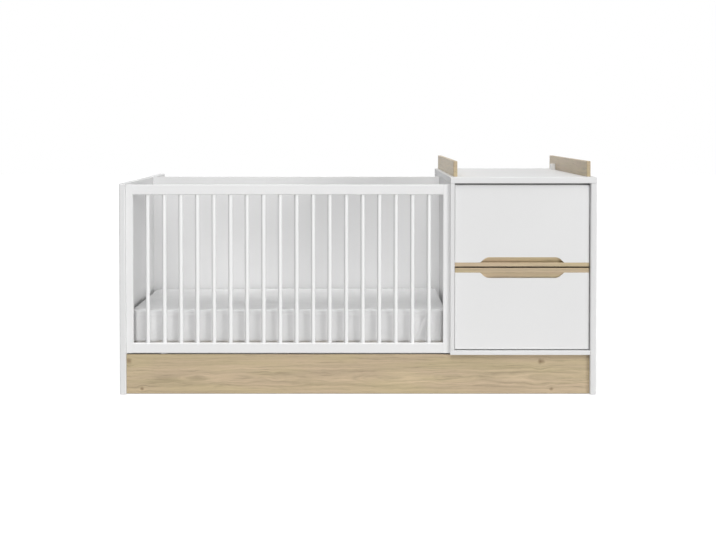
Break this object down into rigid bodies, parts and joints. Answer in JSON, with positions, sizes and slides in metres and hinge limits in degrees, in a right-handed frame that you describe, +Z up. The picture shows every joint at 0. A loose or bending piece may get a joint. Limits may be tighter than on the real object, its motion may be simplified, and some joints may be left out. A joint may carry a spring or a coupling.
{
  "type": "convertible crib",
  "caption": "Convertible crib with a barred front and solid ends, joined to a drawer chest whose top takes a changing mat between two low guard rails, on an oak plinth.",
  "frame": {"origin": "on the floor, in the middle of the outline", "axes": "+X to the right seen from the front, +Y to the back, +Z up"},
  "size_m": [1.8, 0.96, 0.883],
  "materials": {
    "white_board": "satin",
    "oak_decor": "matte",
    "hardboard": "matte",
    "slat_wood": "matte",
    "nylon": "satin",
    "white_plastic": "satin",
    "zinc_steel": "satin",
    "mattress_cover": "matte"
  },
  "bodies": {
    "carcass": {"base_brackets": "zinc_steel", "cam_bolts": "zinc_steel", "cam_locks": "zinc_steel", "chest_back_panel": "hardboard", "chest_bottom": "white_board", "chest_left_side": "white_board", "chest_stretcher": "white_board", "chest_top": "white_board", "crib_back_panel": "white_board", "floor_glides": "white_plastic", "front_barrel_nuts": "zinc_steel", "front_bars": "white_board", "front_bolts": "zinc_steel", "front_bottom_rail": "white_board", "front_plinth": "oak_decor", "front_stiles": "white_board", "front_top_rail": "white_board", "guard_blocks": "white_plastic", "left_end_panel": "white_board", "left_guard_rail": "oak_decor", "lower_drawer_channels": "zinc_steel", "lower_drawer_fixed_pins": "zinc_steel", "panel_screws": "zinc_steel", "plinth_cross_rails": "white_board", "rear_plinth": "white_board", "right_end_panel": "white_board", "right_guard_rail": "oak_decor", "screw_caps": "white_plastic", "short_screws": "zinc_steel", "upper_drawer_channels": "zinc_steel", "upper_drawer_fixed_pins": "zinc_steel", "wall_brackets": "zinc_steel", "wooden_dowels": "slat_wood"},
    "mattress_base": {"base_front_rail": "slat_wood", "base_rear_rail": "slat_wood", "base_end_rails": "slat_wood", "base_slats": "slat_wood"},
    "mattress": {"mattress": "mattress_cover"},
    "upper_drawer": {"upper_drawer_back": "white_board", "upper_drawer_floor": "hardboard", "upper_drawer_front": "white_board", "upper_drawer_left_side": "white_board", "upper_drawer_moving_pins": "zinc_steel", "upper_drawer_right_side": "white_board", "upper_drawer_runners": "zinc_steel", "upper_drawer_scoop": "oak_decor", "upper_drawer_strip": "oak_decor"},
    "lower_drawer": {"lower_drawer_back": "white_board", "lower_drawer_floor": "hardboard", "lower_drawer_front": "white_board", "lower_drawer_left_side": "white_board", "lower_drawer_moving_pins": "zinc_steel", "lower_drawer_right_side": "white_board", "lower_drawer_runners": "zinc_steel", "lower_drawer_scoop": "oak_decor", "lower_drawer_strip": "oak_decor"},
    "upper_front_rollers": {"upper_drawer_front_rollers": "nylon"},
    "upper_rear_rollers": {"upper_drawer_rear_rollers": "nylon"},
    "lower_front_rollers": {"lower_drawer_front_rollers": "nylon"},
    "lower_rear_rollers": {"lower_drawer_rear_rollers": "nylon"}
  },
  "joints": [
    {"name": "mattress_base_height", "type": "slide", "parent": "carcass", "child": "mattress_base", "axis": [0, 0, 1], "range_m": [0, 0.15]},
    {"name": "mattress_lift", "type": "slide", "parent": "mattress_base", "child": "mattress", "axis": [0, 0, 1], "range_m": [0, 0.62]},
    {"name": "upper_drawer_slide", "type": "slide", "parent": "carcass", "child": "upper_drawer", "axis": [0, -1, 0], "range_m": [0, 0.4]},
    {"name": "upper_front_roller_turn", "type": "hinge", "parent": "carcass", "child": "upper_front_rollers", "pos_m": [0.62, -0.436, 0.5072], "axis": [1, 0, 0], "continuous": true},
    {"name": "upper_rear_roller_turn", "type": "hinge", "parent": "upper_drawer", "child": "upper_rear_rollers", "pos_m": [0.62, 0.088, 0.5072], "axis": [1, 0, 0], "continuous": true},
    {"name": "lower_drawer_slide", "type": "slide", "parent": "carcass", "child": "lower_drawer", "axis": [0, -1, 0], "range_m": [0, 0.4]},
    {"name": "lower_front_roller_turn", "type": "hinge", "parent": "carcass", "child": "lower_front_rollers", "pos_m": [0.62, -0.436, 0.1952], "axis": [1, 0, 0], "continuous": true},
    {"name": "lower_rear_roller_turn", "type": "hinge", "parent": "lower_drawer", "child": "lower_rear_rollers", "pos_m": [0.62, 0.088, 0.1952], "axis": [1, 0, 0], "continuous": true}
  ],
  "couplings": [
    {"joint": "upper_front_roller_turn", "follows": "upper_drawer_slide", "rad_per_m": 133.33},
    {"joint": "upper_rear_roller_turn", "follows": "upper_drawer_slide", "rad_per_m": 133.33},
    {"joint": "lower_front_roller_turn", "follows": "lower_drawer_slide", "rad_per_m": 133.33},
    {"joint": "lower_rear_roller_turn", "follows": "lower_drawer_slide", "rad_per_m": 133.33}
  ]
}
